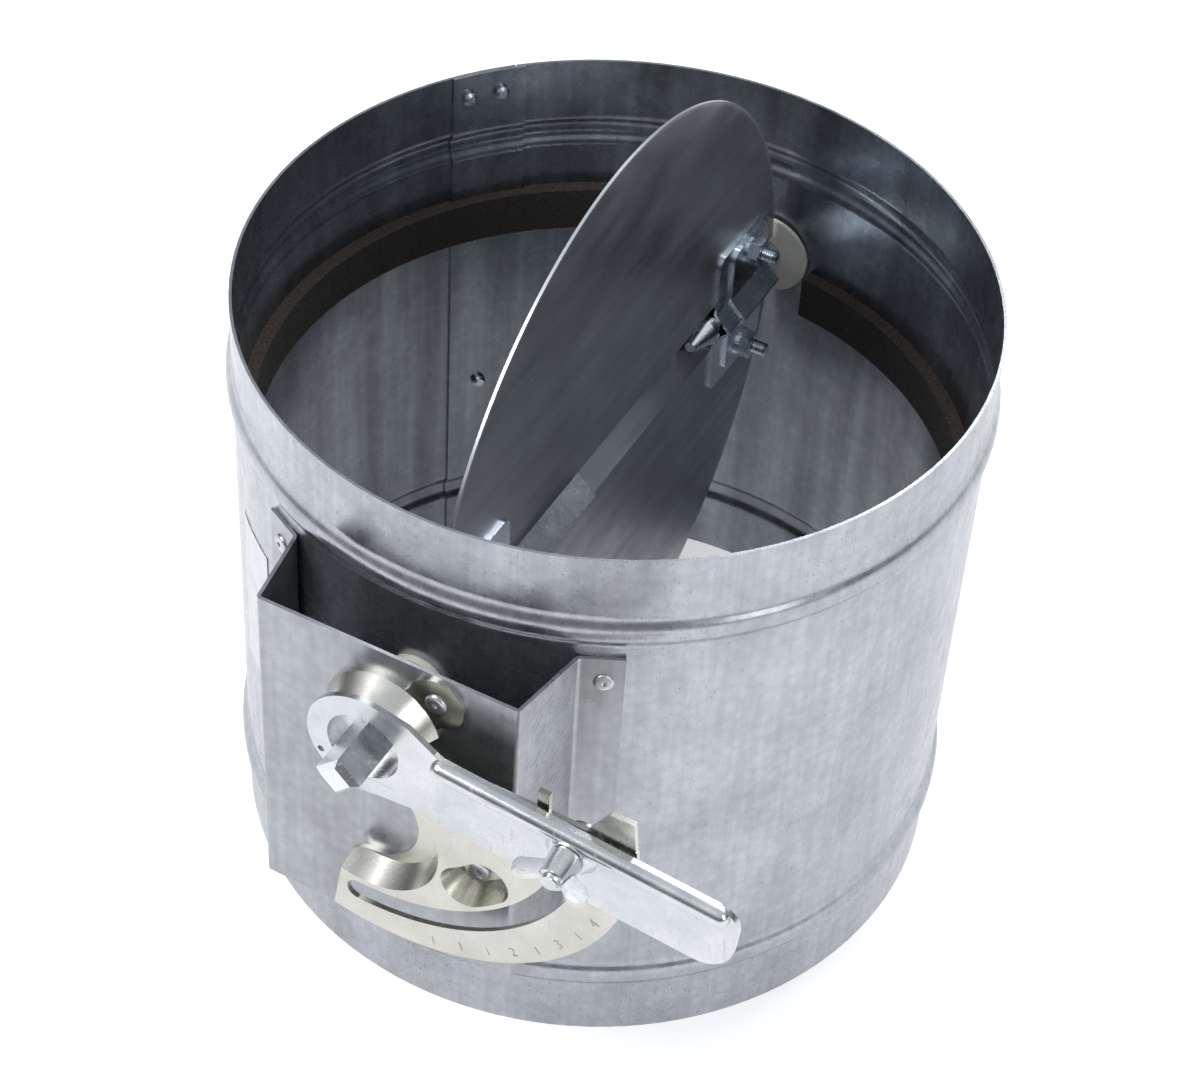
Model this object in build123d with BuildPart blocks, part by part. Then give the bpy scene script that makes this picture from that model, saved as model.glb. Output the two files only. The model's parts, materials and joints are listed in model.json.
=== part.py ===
"""Volume control damper for a 250 mm round duct.

A sheet-metal casing carries a round blade on a split shaft. The square drive shaft leaves the
casing through a stand-off bracket, where a lever and a wing nut lock it on a slotted quadrant.

Frame: millimetres, origin at the centre of the bottom rim, +Z along the duct, the shaft along Y,
and the lever on the -Y side. The blade stands fully open.
"""

from build123d import *
import os
from math import cos, radians, sin, sqrt

os.makedirs("parts", exist_ok=True)

# ---------------------------------------------------------------- driving dimensions
# Casing
casing_radius = 125.0
casing_height = 226.0
casing_sheet = 1.0
bead_start = 24.5
bead_width = 11.0
bead_height = 2.0
bead_flank = 3.5
bead_corner = 5.0
lap_edge_angle = 135.0
lap_width_angle = 11.0
lap_root_angle = 1.5
lap_slit_angle = 0.2

# Shaft line
shaft_height = 156.5
shaft_side = 11.0
drive_shaft_tail = 52.1
drive_shaft_reach = 15.8
drive_shaft_chamfer = 1.8
end_shaft_tail = 13.6
end_shaft_nose_length = 10.0
end_shaft_nose_tip_radius = 1.9
end_shaft_overhang = 8.0
end_shaft_chamfer = 0.8

# Blade
blade_shaft_gap = 3.6
blade_side_gap = 0.8
blade_sheet = 1.0
blade_face_offset = 2.0
groove_bend = 0.3
groove_seat_gap = 0.1

# Clamps that hold the shafts in the groove of the blade
clamp_setback = 10.4
clamp_length = 36.4
clamp_reach = 30.0
clamp_sheet = 1.0
saddle_setback = 9.5
saddle_reach = 27.0
clamp_bend = 1.2
clamp_corner = 4.0
bolt_setback = 14.0
bolt_spread = 21.5
bolt_radius = 2.5
bolt_hole_clearance = 0.2
bolt_head_flats = 8.0
bolt_head_height = 3.2
bolt_tail = 5.4
thread_pitch = 0.8
thread_depth = 0.35
star_washer_radius = 5.4
star_washer_thickness = 0.9
star_washer_teeth = 12
star_washer_tooth = 0.9
clamp_nut_flats = 9.0
clamp_nut_height = 4.0

# Bushings
bushing_sleeve_radius = 10.0
bushing_flange_radius = 15.5
bushing_flange_thickness = 1.6
bushing_blade_gap = 0.8
bushing_overhang = 2.5
running_clearance = 0.1

# Seal strips
seal_thickness = 5.0
seal_height = 17.0
seal_end_angle = 7.8
seal_blade_gap = 0.4
seal_wall_gap = 0.1
seal_lap_spare_angle = 0.3
seal_rivet_clearance = 0.3

# Stand-off bracket
bracket_sheet = 1.2
bracket_standoff = 19.4
bracket_half_width = 46.3
bracket_bottom = 56.0
bracket_top_inset = 40.5
bracket_bend = 1.8
flange_angle = 27.3
flange_inner_reach = 8.0
flange_outer_reach = 6.4
bracket_shaft_clearance = 1.4
bracket_rivet_inset = 10.0

# Blind rivets
rivet_shank_radius = 1.6
rivet_head_radius = 3.3
rivet_head_height = 1.0
seam_rivet_head_height = 0.35
rivet_tail_radius = 2.6
rivet_tail_height = 2.2
rivet_mandrel_radius = 0.9
rivet_mandrel_depth = 0.6
seat_gap = 0.05
rim_rivet_inset = 9.0
rim_rivet_spread = 2.8
middle_rivet_height = 84.0

# Quadrant plate
quadrant_sheet = 1.8
quadrant_rise = 9.2
hub_base_radius = 20.5
hub_top_radius = 16.6
hub_bore_radius = 14.6
ear_x = 18.9
ear_z = 18.9
ear_radius = 9.6
ear_web_width = 16.0
low_rivet_x = 36.2
low_rivet_z = -48.3
pad_ring_radius = 59.5
pad_start_angle = 36.0
pad_end_angle = 46.0
pad_floor_width = 10.6
pad_mouth_width = 16.4
bite_x = -6.0
bite_z = -44.0
bite_radius = 19.3
lip_shift_x = 5.0
lip_shift_z = 3.4
lip_radius = 23.2
lip_flank = 3.6
dial_x = 7.5
dial_z = -1.5
dial_radius = 86.0
dial_start_angle = 8.6
dial_top = 4.5
dial_horn_height = 16.0
dial_horn_width = 8.0
dial_horn_root = 76.5
stop_tab_x = 61.5
stop_tab_width = 4.0
stop_tab_height = 8.0
slot_radius = 73.6
slot_width = 8.4
slot_spare_angle = 0.3
quadrant_rivet_scale = 1.12

# Lever
lever_sheet = 2.0
lever_gap = 0.3
lever_droop = 5.5
lever_eye_radius = 20.0
lever_hole_radius = 12.7
lever_cup_wall = 1.5
lever_cup_depth = 5.0
lever_cup_floor = 1.6
lever_key_clearance = 0.05
lever_joggle = 1.0
lever_joggle_start = 24.0
lever_joggle_length = 3.0
lever_top = 12.8
lever_bottom = -15.7
lever_end = 129.4
neck_shoulder_u = 14.0
neck_shoulder_v = 18.5
lever_top_corner = 8.0
lever_bottom_corner = 12.0
ridge_radius = 3.4
ridge_end_margin = 3.4
boss_base_radius = 9.0
boss_top_radius = 6.4
boss_height = 3.7
index_hole_u = -14.1
index_hole_v = -10.8
index_hole_radius = 1.2

# Lock bolt and wing nut
lock_angle_open = 87.5
travel_angle = 90.0
lock_bolt_radius = 3.0
lock_bolt_head_radius = 5.0
lock_bolt_head_height = 3.0
lock_bolt_neck = 6.0
lock_head_gap = 0.2
lock_bolt_length_past_nut = 1.6
wing_nut_base_radius = 5.5
wing_nut_top_radius = 4.3
wing_nut_height = 9.0
wing_nut_gap = 0.1
wing_span = 25.0
wing_rise = 13.0
wing_thickness = 2.2
wing_tip_radius = 3.3
wing_root_radius = 2.4
wing_root_height = 5.0
wing_nut_thread_clearance = 0.1

# ---------------------------------------------------------------- derived places
inner_radius = casing_radius - casing_sheet
bead_end = bead_start + bead_width
half_diagonal = shaft_side / sqrt(2)
blade_back_offset = blade_face_offset - blade_sheet
groove_depth = half_diagonal + groove_seat_gap * sqrt(2)
groove_half_width = groove_depth + blade_face_offset
blade_radius = inner_radius - blade_shaft_gap
blade_reach = inner_radius - blade_side_gap
clamp_end = blade_radius - clamp_setback
clamp_start = clamp_end - clamp_length
bolt_station = clamp_end - bolt_setback
bushing_face = blade_radius + bushing_blade_gap
bushing_back = bushing_face + bushing_flange_thickness
bushing_end = casing_radius + bushing_overhang
bushing_hole_radius = bushing_sleeve_radius + running_clearance
bracket_face = casing_radius + bracket_standoff
bracket_height = casing_height - bracket_bottom - bracket_top_inset
quadrant_base_front = bracket_face + quadrant_sheet
quadrant_front = quadrant_base_front + quadrant_rise
quadrant_back = quadrant_front - quadrant_sheet
lever_back = quadrant_front + lever_gap
lever_front = lever_back + lever_sheet
grip_front = lever_front + lever_joggle
boss_front = grip_front + boss_height
wing_nut_seat = boss_front + wing_nut_gap
lock_bolt_end = wing_nut_seat + wing_nut_height + lock_bolt_length_past_nut
lock_x = slot_radius * sin(radians(lock_angle_open))
lock_z = -slot_radius * cos(radians(lock_angle_open))
bolt_stack_top = blade_face_offset + 2 * clamp_sheet + star_washer_thickness
rivet_hole_radius = rivet_shank_radius + seat_gap
rivet_tail_reach = 4 * seat_gap + rivet_tail_height + seal_rivet_clearance
rivet_dent_depth = bracket_sheet + casing_sheet + rivet_tail_reach
quadrant_rivet_places = [(ear_x, ear_z), (low_rivet_x, low_rivet_z)]


# ---------------------------------------------------------------- planes and small helpers
def across_shaft(distance):
    """Plane square to the shaft, centred on it, at a distance from the duct axis toward the lever."""
    return Plane(origin=(0, -distance, shaft_height), x_dir=(1, 0, 0), z_dir=(0, -1, 0))


def lever_plane(distance):
    """Plane square to the shaft whose X runs along the lever."""
    droop = radians(lever_droop)
    direction = (cos(droop), 0, -sin(droop))
    return Plane(origin=(0, -distance, shaft_height), x_dir=direction, z_dir=(0, -1, 0))


def lock_plane(distance):
    """Plane square to the lock bolt and centred on it, with X along the lever."""
    place = lever_plane(distance)
    droop = radians(lever_droop)
    direction = (cos(droop), 0, -sin(droop))
    centre = place.origin + Vector(lock_x, 0, lock_z)
    return Plane(origin=centre, x_dir=direction, z_dir=(0, -1, 0))


def radial(angle, height, distance):
    """Plane tangent to a cylinder about the duct axis, facing outward."""
    turn = radians(angle)
    centre = (distance * cos(turn), distance * sin(turn), height)
    return Plane(origin=centre, x_dir=(-sin(turn), cos(turn), 0), z_dir=(cos(turn), sin(turn), 0))


def half_section(angle):
    """Plane through the duct axis, with X pointing outward at an angle and Y along the duct."""
    turn = radians(angle)
    return Plane(origin=(0, 0, 0), x_dir=(cos(turn), sin(turn), 0), z_dir=(sin(turn), -cos(turn), 0))


def finish(piece, name):
    """Label a finished piece and write it under its node name."""
    piece.part.label = name
    export_step(piece.part, f"parts/{name}.step")


def wall_section(outside):
    """Section of the beaded wall whose outer face stands at the radius outside."""
    bead = [
        (outside, bead_start),
        (outside + bead_height, bead_start + bead_flank),
        (outside + bead_height, bead_end - bead_flank),
        (outside, bead_end),
    ]
    upper_bead = [(x, casing_height - y) for x, y in reversed(bead)]
    outer_line = [(outside, 0), *bead, *upper_bead, (outside, casing_height)]
    inner_line = [(x - casing_sheet, y) for x, y in reversed(outer_line)]
    with BuildSketch() as section:
        with BuildLine():
            Polyline(*outer_line, *inner_line, close=True)
        make_face()
        corners = section.vertices().filter_by(lambda v: 0 < round(v.Y, 3) < casing_height)
        fillet(corners, bead_corner)
    return section.sketch


def blind_rivet(grip, scale, head_height):
    """Set blind rivet with its head seat at the origin, its head toward +Z and its tail toward -Z."""
    with BuildPart() as rivet:
        with BuildSketch(Plane.XZ):
            with BuildLine():
                head_rim = (rivet_head_radius * scale, 0.25 * head_height)
                tail_top = -grip - seat_gap
                tail_end = tail_top - rivet_tail_height
                Polyline(
                    (0, head_height - rivet_mandrel_depth),
                    (rivet_mandrel_radius, head_height - rivet_mandrel_depth),
                    (rivet_mandrel_radius, head_height),
                )
                Spline(
                    (rivet_mandrel_radius, head_height),
                    head_rim,
                    tangents=[(1, 0), (0.35, -1)],
                )
                Polyline(
                    head_rim,
                    (rivet_head_radius * scale, 0),
                    (rivet_shank_radius, 0),
                    (rivet_shank_radius, tail_top),
                    (rivet_tail_radius, tail_top),
                    (rivet_tail_radius, 0.4 * tail_top + 0.6 * tail_end),
                    (0.6 * rivet_tail_radius, tail_end),
                    (0, tail_end),
                    (0, head_height - rivet_mandrel_depth),
                )
            make_face()
        revolve(axis=Axis.Z)
    return rivet.part


def saddle_section(lift, reach):
    """Section of a bent strap over the shafts: flat flanges lifted off the blade and a V between them."""
    apex = half_diagonal + lift * sqrt(2)
    foot = blade_face_offset + lift
    mouth = apex - foot
    with BuildSketch() as section:
        with BuildLine() as path:
            Polyline((foot, reach), (foot, mouth), (apex, 0), (foot, -mouth), (foot, -reach))
            bends = path.vertices().filter_by(lambda v: abs(abs(v.Y) - mouth) < 0.01)
            fillet(bends, clamp_bend)
            offset(amount=clamp_sheet, side=Side.LEFT)
        make_face()
    return section.sketch


def sheet_from_form(form, thickness):
    """Pressed sheet of one thickness: the form without its own copy moved back toward the duct."""
    return form - Pos(0, thickness, 0) * form


# ---------------------------------------------------------------- casing
lap_edge = half_section(lap_edge_angle - lap_root_angle)
seam_middle_angle = lap_edge_angle + lap_width_angle / 2
seam_rivet_places = [
    radial(seam_middle_angle - rim_rivet_spread, rim_rivet_inset, casing_radius + seat_gap),
    radial(seam_middle_angle + rim_rivet_spread, rim_rivet_inset, casing_radius + seat_gap),
    radial(seam_middle_angle, middle_rivet_height, casing_radius + seat_gap),
    radial(seam_middle_angle - rim_rivet_spread, casing_height - rim_rivet_inset, casing_radius + seat_gap),
    radial(seam_middle_angle + rim_rivet_spread, casing_height - rim_rivet_inset, casing_radius + seat_gap),
]
flange_seat = casing_radius + seat_gap
bracket_rivet_heights = [
    bracket_bottom + bracket_rivet_inset,
    bracket_bottom + bracket_height - bracket_rivet_inset,
]
bracket_rivet_places = [
    radial(-90 + side * flange_angle, height, flange_seat + bracket_sheet)
    for side in (-1, 1)
    for height in bracket_rivet_heights
]

with BuildPart() as casing:
    with BuildSketch(half_section(0)):
        add(wall_section(casing_radius))
    revolve(axis=Axis.Z)
    # The inner layer of the lap seam follows the beads of the wall.
    with BuildSketch(lap_edge):
        add(wall_section(inner_radius))
    revolve(axis=Axis.Z, revolution_arc=lap_width_angle + lap_root_angle)
    # The free edge of the outer layer leaves a slit down the outside.
    with BuildSketch(half_section(lap_edge_angle)):
        add(wall_section(casing_radius))
    revolve(axis=Axis.Z, revolution_arc=lap_slit_angle, mode=Mode.SUBTRACT)
    with BuildSketch(across_shaft(casing_radius + bead_height)):
        Circle(bushing_hole_radius)
    extrude(amount=-2 * (casing_radius + bead_height), mode=Mode.SUBTRACT)
    with Locations(*seam_rivet_places, *bracket_rivet_places):
        Hole(rivet_hole_radius, depth=3 * casing_sheet + 2 * bracket_sheet)
finish(casing, "casing")

with BuildPart() as seam_rivets:
    with Locations(*seam_rivet_places):
        add(blind_rivet(2 * casing_sheet + seat_gap, 1, seam_rivet_head_height))
finish(seam_rivets, "seam_rivets")


# ---------------------------------------------------------------- bushings
def bushing(side, bore):
    """Flanged bushing in the wall, on the far side (1) or the lever side (-1), with its bore sketch."""
    with BuildPart() as piece:
        with BuildSketch(across_shaft(-side * bushing_face)):
            Circle(bushing_flange_radius)
            add(bore, mode=Mode.SUBTRACT)
        extrude(amount=-side * bushing_flange_thickness)
        with BuildSketch(across_shaft(-side * bushing_face)):
            Circle(bushing_sleeve_radius)
            add(bore, mode=Mode.SUBTRACT)
        extrude(amount=-side * (bushing_end - bushing_face))
    return piece


with BuildSketch() as round_bore:
    Circle(shaft_side / 2 + running_clearance)
far_bushing = bushing(1, round_bore.sketch)
finish(far_bushing, "far_bushing")

with BuildSketch() as square_bore:
    Rectangle(shaft_side + lever_key_clearance, shaft_side + lever_key_clearance, rotation=45)
near_bushing = bushing(-1, square_bore.sketch)
finish(near_bushing, "near_bushing")


# ---------------------------------------------------------------- seal strips
def seal_strip(start_angle, bottom):
    """Half ring of sealing strip on the inside of the wall."""
    turn = start_angle + seal_end_angle
    with BuildPart() as strip:
        with BuildSketch(half_section(turn)):
            with Locations((inner_radius - seal_wall_gap - seal_thickness / 2, bottom + seal_height / 2)):
                Rectangle(seal_thickness, seal_height)
        revolve(axis=Axis.Z, revolution_arc=180 - 2 * seal_end_angle)
        # The strip is pressed in where it crosses the lap seam and the tails of the bracket's rivets.
        with BuildSketch(half_section(lap_edge_angle - lap_root_angle - seal_lap_spare_angle)):
            with Locations((inner_radius - casing_sheet / 2 - seal_wall_gap / 2, bottom + seal_height / 2)):
                Rectangle(casing_sheet + seal_wall_gap, seal_height)
        revolve(
            axis=Axis.Z,
            revolution_arc=lap_width_angle + lap_root_angle + 2 * seal_lap_spare_angle,
            mode=Mode.SUBTRACT,
        )
        with Locations(*bracket_rivet_places):
            Hole(rivet_tail_radius + seal_rivet_clearance, depth=rivet_dent_depth)
    return strip


left_seal = seal_strip(90, shaft_height - blade_back_offset + seal_blade_gap)
finish(left_seal, "left_seal")
right_seal = seal_strip(-90, shaft_height - blade_face_offset - seal_blade_gap - seal_height)
finish(right_seal, "right_seal")

# ---------------------------------------------------------------- stand-off bracket
bracket_foot = Plane.XY.offset(bracket_bottom)
flange_out = Vector(sin(radians(flange_angle)), -cos(radians(flange_angle)))
flange_along = Vector(cos(radians(flange_angle)), sin(radians(flange_angle)))
flange_end = flange_out * (flange_seat + bracket_sheet) + flange_along * flange_outer_reach
flange_fold = flange_out * (flange_seat + bracket_sheet) - flange_along * flange_inner_reach
bracket_corner = Vector(bracket_half_width, -bracket_face)
right_half = [flange_end, flange_fold, bracket_corner]
left_half = [Vector(-point.X, point.Y) for point in reversed(right_half)]

with BuildPart() as standoff_bracket:
    with BuildSketch(bracket_foot):
        with BuildLine() as bracket_line:
            Polyline(*right_half, *left_half)
            bends = bracket_line.vertices().filter_by(lambda v: abs(v.X) < flange_end.X - 0.01)
            fillet(bends, bracket_bend)
            offset(amount=bracket_sheet, side=Side.RIGHT)
        make_face()
    extrude(amount=bracket_height)
    with BuildSketch(across_shaft(bracket_face)):
        Circle(half_diagonal + bracket_shaft_clearance)
        with Locations(*quadrant_rivet_places):
            Circle(rivet_hole_radius)
    extrude(amount=-bracket_sheet, mode=Mode.SUBTRACT)
    with Locations(*bracket_rivet_places):
        Hole(rivet_hole_radius, depth=2 * bracket_sheet)
finish(standoff_bracket, "standoff_bracket")

with BuildPart() as bracket_rivets:
    with Locations(*bracket_rivet_places):
        add(blind_rivet(bracket_sheet + casing_sheet + seat_gap, 1, rivet_head_height))
finish(bracket_rivets, "bracket_rivets")

# ---------------------------------------------------------------- quadrant plate
dial_end_x = dial_x + sqrt(dial_radius**2 - (dial_horn_height - dial_z) ** 2)
with BuildSketch() as dial_outline:
    with Locations((dial_x, dial_z)):
        Circle(dial_radius)
    # The plate is what lies below its top edge and right of its radial end.
    with BuildLine():
        end_turn = radians(dial_start_angle)
        beyond = 2 * dial_radius
        Polyline(
            (0, dial_top),
            (0, 0),
            (-beyond * sin(end_turn), -beyond * cos(end_turn)),
            (beyond, -beyond),
            (beyond, dial_top),
            close=True,
        )
    make_face(mode=Mode.INTERSECT)

with BuildSketch() as dial_horn:
    with BuildLine():
        Polyline(
            (dial_end_x - dial_horn_width, dial_horn_height),
            (dial_end_x, dial_horn_height),
            (dial_x + dial_radius, dial_z),
            (dial_horn_root, dial_z),
            (dial_horn_root, dial_top),
            close=True,
        )
    make_face()
    with Locations((stop_tab_x, (dial_z + dial_top + stop_tab_height) / 2)):
        Rectangle(stop_tab_width, stop_tab_height + dial_top - dial_z)

with BuildSketch() as ear_outline:
    with Locations((ear_x, ear_z)):
        Circle(ear_radius)
    with Locations((ear_x / 2, ear_z / 2)):
        Rectangle(sqrt(ear_x**2 + ear_z**2), ear_web_width, rotation=45)

with BuildSketch() as raised_outline:
    add(dial_outline.sketch)
    add(dial_horn.sketch)

with BuildLine() as pad_arc:
    CenterArc((0, 0), pad_ring_radius, pad_start_angle - 90, pad_end_angle - pad_start_angle)
pad_line = pad_arc.wire()

with BuildLine() as slot_arc:
    slot_start = lock_angle_open - 90 - travel_angle - slot_spare_angle
    CenterArc((0, 0), slot_radius, slot_start, travel_angle + 2 * slot_spare_angle)
slot_line = slot_arc.wire()

with BuildPart() as quadrant_form:
    with BuildSketch(across_shaft(bracket_face)):
        Circle(hub_base_radius)
        add(ear_outline.sketch)
        add(raised_outline.sketch)
    extrude(amount=quadrant_sheet)
    with BuildSketch(across_shaft(quadrant_base_front)):
        add(raised_outline.sketch)
    extrude(amount=quadrant_rise)
    # The lip along the open bite stays down on the bracket.
    for level, reach in ((quadrant_base_front, lip_radius), (quadrant_front, lip_radius + lip_flank)):
        with BuildSketch(across_shaft(level)):
            with Locations((bite_x + lip_shift_x, bite_z + lip_shift_z)):
                Circle(reach)
    loft(mode=Mode.SUBTRACT)
    # The pad round the lower rivet stays down too, as a pocket that follows the slot.
    for level, width in ((quadrant_base_front, pad_floor_width), (quadrant_front, pad_mouth_width)):
        with BuildSketch(across_shaft(level)):
            SlotArc(pad_line, width)
    loft(mode=Mode.SUBTRACT)
    # The hub rises round the lever's cup.
    for level, reach in ((quadrant_base_front, hub_base_radius), (quadrant_front, hub_top_radius)):
        with BuildSketch(across_shaft(level)):
            Circle(reach)
    loft()

with BuildPart() as quadrant_plate:
    add(sheet_from_form(quadrant_form.part, quadrant_sheet))
    with BuildSketch(across_shaft(bracket_face)):
        Circle(hub_bore_radius)
        with Locations((bite_x, bite_z)):
            Circle(bite_radius)
        with Locations(*quadrant_rivet_places):
            Circle(rivet_hole_radius)
        SlotArc(slot_line, slot_width)
    extrude(amount=quadrant_front, mode=Mode.SUBTRACT)
finish(quadrant_plate, "quadrant_plate")

with BuildPart() as quadrant_rivets:
    with Locations(across_shaft(quadrant_base_front)):
        with Locations(*quadrant_rivet_places):
            add(blind_rivet(quadrant_sheet + bracket_sheet, quadrant_rivet_scale, rivet_head_height))
finish(quadrant_rivets, "quadrant_rivets")

# ---------------------------------------------------------------- blade
bolt_places = [
    Plane(origin=(0, y, shaft_height + z), x_dir=(0, 1, 0), z_dir=(1, 0, 0))
    for y in (-bolt_station, bolt_station)
    for z in (-bolt_spread, bolt_spread)
]

with BuildPart() as blade:
    with BuildSketch(across_shaft(-blade_radius)):
        with BuildLine():
            FilletPolyline(
                (blade_face_offset, blade_reach),
                (blade_face_offset, groove_half_width),
                (-groove_depth, 0),
                (blade_face_offset, -groove_half_width),
                (blade_face_offset, -blade_reach),
                radius=groove_bend,
            )
            offset(amount=blade_sheet, side=Side.RIGHT)
        make_face()
    extrude(amount=2 * blade_radius)
    # The blade is a little longer across the shaft than along it.
    with BuildSketch(Plane.YZ.offset(-blade_radius)):
        with Locations((0, shaft_height)):
            Ellipse(blade_radius, blade_reach)
    extrude(amount=2 * blade_radius, mode=Mode.INTERSECT)
    with Locations(*bolt_places):
        Hole(bolt_radius + bolt_hole_clearance)
finish(blade, "blade")

# ---------------------------------------------------------------- shafts
with BuildPart() as drive_shaft:
    with BuildSketch(across_shaft(clamp_start - drive_shaft_tail)):
        Rectangle(shaft_side, shaft_side, rotation=45)
    extrude(amount=lever_front + drive_shaft_reach - clamp_start + drive_shaft_tail)
    chamfer(faces().filter_by(Axis.Y).edges(), drive_shaft_chamfer)
finish(drive_shaft, "drive_shaft")

end_shaft_tip = clamp_start - end_shaft_tail
with BuildPart() as end_shaft:
    with BuildSketch(Plane.YZ):
        with BuildLine():
            Polyline(
                (end_shaft_tip, shaft_height),
                (end_shaft_tip, shaft_height + end_shaft_nose_tip_radius),
                (end_shaft_tip + end_shaft_nose_length, shaft_height + shaft_side / 2),
                (casing_radius + end_shaft_overhang - end_shaft_chamfer, shaft_height + shaft_side / 2),
                (casing_radius + end_shaft_overhang, shaft_height + shaft_side / 2 - end_shaft_chamfer),
                (casing_radius + end_shaft_overhang, shaft_height),
                close=True,
            )
        make_face()
    revolve(axis=Axis((0, 0, shaft_height), (0, 1, 0)))
finish(end_shaft, "end_shaft")


# ---------------------------------------------------------------- clamps
def clamp_piece(side, start, lift, reach):
    """Bent strap over one shaft, on the far side (1) or the lever side (-1)."""
    with BuildPart() as piece:
        with BuildSketch(across_shaft(-side * start)):
            add(saddle_section(lift, reach))
        extrude(amount=-side * (clamp_end - start))
        fillet(piece.edges().filter_by(Axis.X), clamp_corner)
        with Locations(*bolt_places):
            Hole(bolt_radius + bolt_hole_clearance)
    return piece


for side, end in ((-1, "near"), (1, "far")):
    strap = clamp_piece(side, clamp_start, 0, clamp_reach)
    finish(strap, f"{end}_clamp_strap")
    saddle = clamp_piece(side, clamp_start + saddle_setback, clamp_sheet, saddle_reach)
    finish(saddle, f"{end}_clamp_saddle")


# ---------------------------------------------------------------- clamp fasteners
def thread_points(radius, start, end):
    """Zigzag of a screw's thread between two heights, as (radius, height) points."""
    turns = max(1, int((end - start) / thread_pitch))
    pitch = (end - start) / turns
    return [
        point
        for turn in range(turns)
        for point in (
            (radius, start + turn * pitch),
            (radius - thread_depth, start + (turn + 0.5) * pitch),
        )
    ]


def hexagon(flats):
    """Hexagon with its distance across flats."""
    return RegularPolygon(flats / 2, 6, major_radius=False)


def hex_form(flats, bottom, top, bevel_bottom):
    """Hexagonal prism with its corners turned down on top, and below where bevel_bottom says so."""
    corner = flats / sqrt(3)
    turned = corner - flats / 2
    with BuildPart() as form:
        with BuildSketch(Plane.XY.offset(bottom)):
            hexagon(flats)
        extrude(amount=top - bottom)
        with BuildSketch(Plane.XZ):
            with BuildLine():
                low = [(corner, bottom)]
                if bevel_bottom:
                    low = [(flats / 2, bottom), (corner, bottom + turned / 2)]
                high = [(corner, top - turned / 2), (flats / 2, top)]
                Polyline((0, bottom), *low, *high, (0, top), close=True)
            make_face()
        revolve(axis=Axis.Z, mode=Mode.INTERSECT)
    return form.part


clamp_bolt_end = bolt_stack_top + clamp_nut_height + bolt_tail
with BuildPart() as clamp_bolt:
    bolt_head = hex_form(bolt_head_flats, -blade_back_offset, bolt_head_height - blade_back_offset, False)
    add(mirror(bolt_head, about=Plane.XY, mode=Mode.PRIVATE))
    with BuildSketch(Plane.XZ):
        with BuildLine():
            Polyline(
                (0, blade_back_offset),
                (bolt_radius, blade_back_offset),
                *thread_points(bolt_radius, bolt_stack_top, clamp_bolt_end - thread_pitch),
                (bolt_radius, clamp_bolt_end - thread_pitch),
                (bolt_radius - thread_pitch, clamp_bolt_end),
                (0, clamp_bolt_end),
                close=True,
            )
        make_face()
    revolve(axis=Axis.Z)

with BuildPart() as clamp_washer:
    with BuildSketch(Plane.XY.offset(blade_face_offset + 2 * clamp_sheet)):
        Circle(star_washer_radius)
        Circle(bolt_radius + bolt_hole_clearance, mode=Mode.SUBTRACT)
        with PolarLocations(star_washer_radius, star_washer_teeth):
            Rectangle(2 * star_washer_tooth, star_washer_tooth, mode=Mode.SUBTRACT)
    extrude(amount=star_washer_thickness)

with BuildPart() as clamp_nut:
    add(hex_form(clamp_nut_flats, bolt_stack_top, bolt_stack_top + clamp_nut_height, True))
    Hole(bolt_radius + seat_gap)

for fastener, name in (
    (clamp_bolt, "clamp_bolts"),
    (clamp_washer, "clamp_washers"),
    (clamp_nut, "clamp_nuts"),
):
    with BuildPart() as group:
        with Locations(*bolt_places):
            add(fastener.part)
    finish(group, name)

# ---------------------------------------------------------------- lever
lever_direction = lever_plane(0).x_dir
lever_side_plane = Plane(
    origin=(0, 0, shaft_height),
    x_dir=lever_direction,
    z_dir=-lever_plane(0).y_dir,
)
ridge_start = lever_joggle_start + ridge_radius
ridge_end = lever_end - ridge_radius - ridge_end_margin
ridge_height = lever_top - ridge_radius

with BuildPart() as lever_form:
    with BuildSketch(lever_plane(lever_back)) as lever_outline:
        with BuildLine():
            Polyline(
                (0, lever_eye_radius),
                (neck_shoulder_u, neck_shoulder_v),
                (lever_joggle_start, lever_top),
                (lever_end, lever_top),
                (lever_end, lever_bottom),
                (lever_joggle_start, lever_bottom),
                (0, -lever_eye_radius),
                close=True,
            )
        make_face()
        fillet(lever_outline.vertices().sort_by_distance((lever_end, lever_top))[0], lever_top_corner)
        low_corner = lever_outline.vertices().sort_by_distance((lever_end, lever_bottom))[0]
        fillet(low_corner, lever_bottom_corner)
        Circle(lever_eye_radius)
    extrude(amount=grip_front - lever_back)
    # The eye lies a joggle behind the grip.
    with BuildSketch(lever_side_plane):
        with BuildLine():
            Polyline(
                (-lever_eye_radius, lever_front),
                (lever_joggle_start, lever_front),
                (lever_joggle_start + lever_joggle_length, grip_front),
                (-lever_eye_radius, grip_front),
                close=True,
            )
        make_face()
    extrude(amount=lever_eye_radius, both=True, mode=Mode.SUBTRACT)
    # A half-round ridge stiffens the upper edge of the grip.
    with BuildSketch(lever_plane(grip_front)):
        with BuildLine():
            Polyline((ridge_start - ridge_radius, ridge_height), (ridge_end + ridge_radius, ridge_height))
            RadiusArc((ridge_start - ridge_radius, ridge_height), (ridge_start, lever_top), ridge_radius)
            Line((ridge_start, lever_top), (ridge_end, lever_top))
            RadiusArc((ridge_end, lever_top), (ridge_end + ridge_radius, ridge_height), ridge_radius)
        make_face()
    ridge_origin = lever_plane(grip_front).from_local_coords((0, ridge_height, 0))
    revolve(axis=Axis(ridge_origin, lever_direction))
    # A raised boss carries the wing nut.
    for level, reach in ((grip_front, boss_base_radius), (boss_front, boss_top_radius)):
        with BuildSketch(lock_plane(level)):
            Circle(reach)
    loft()

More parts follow.
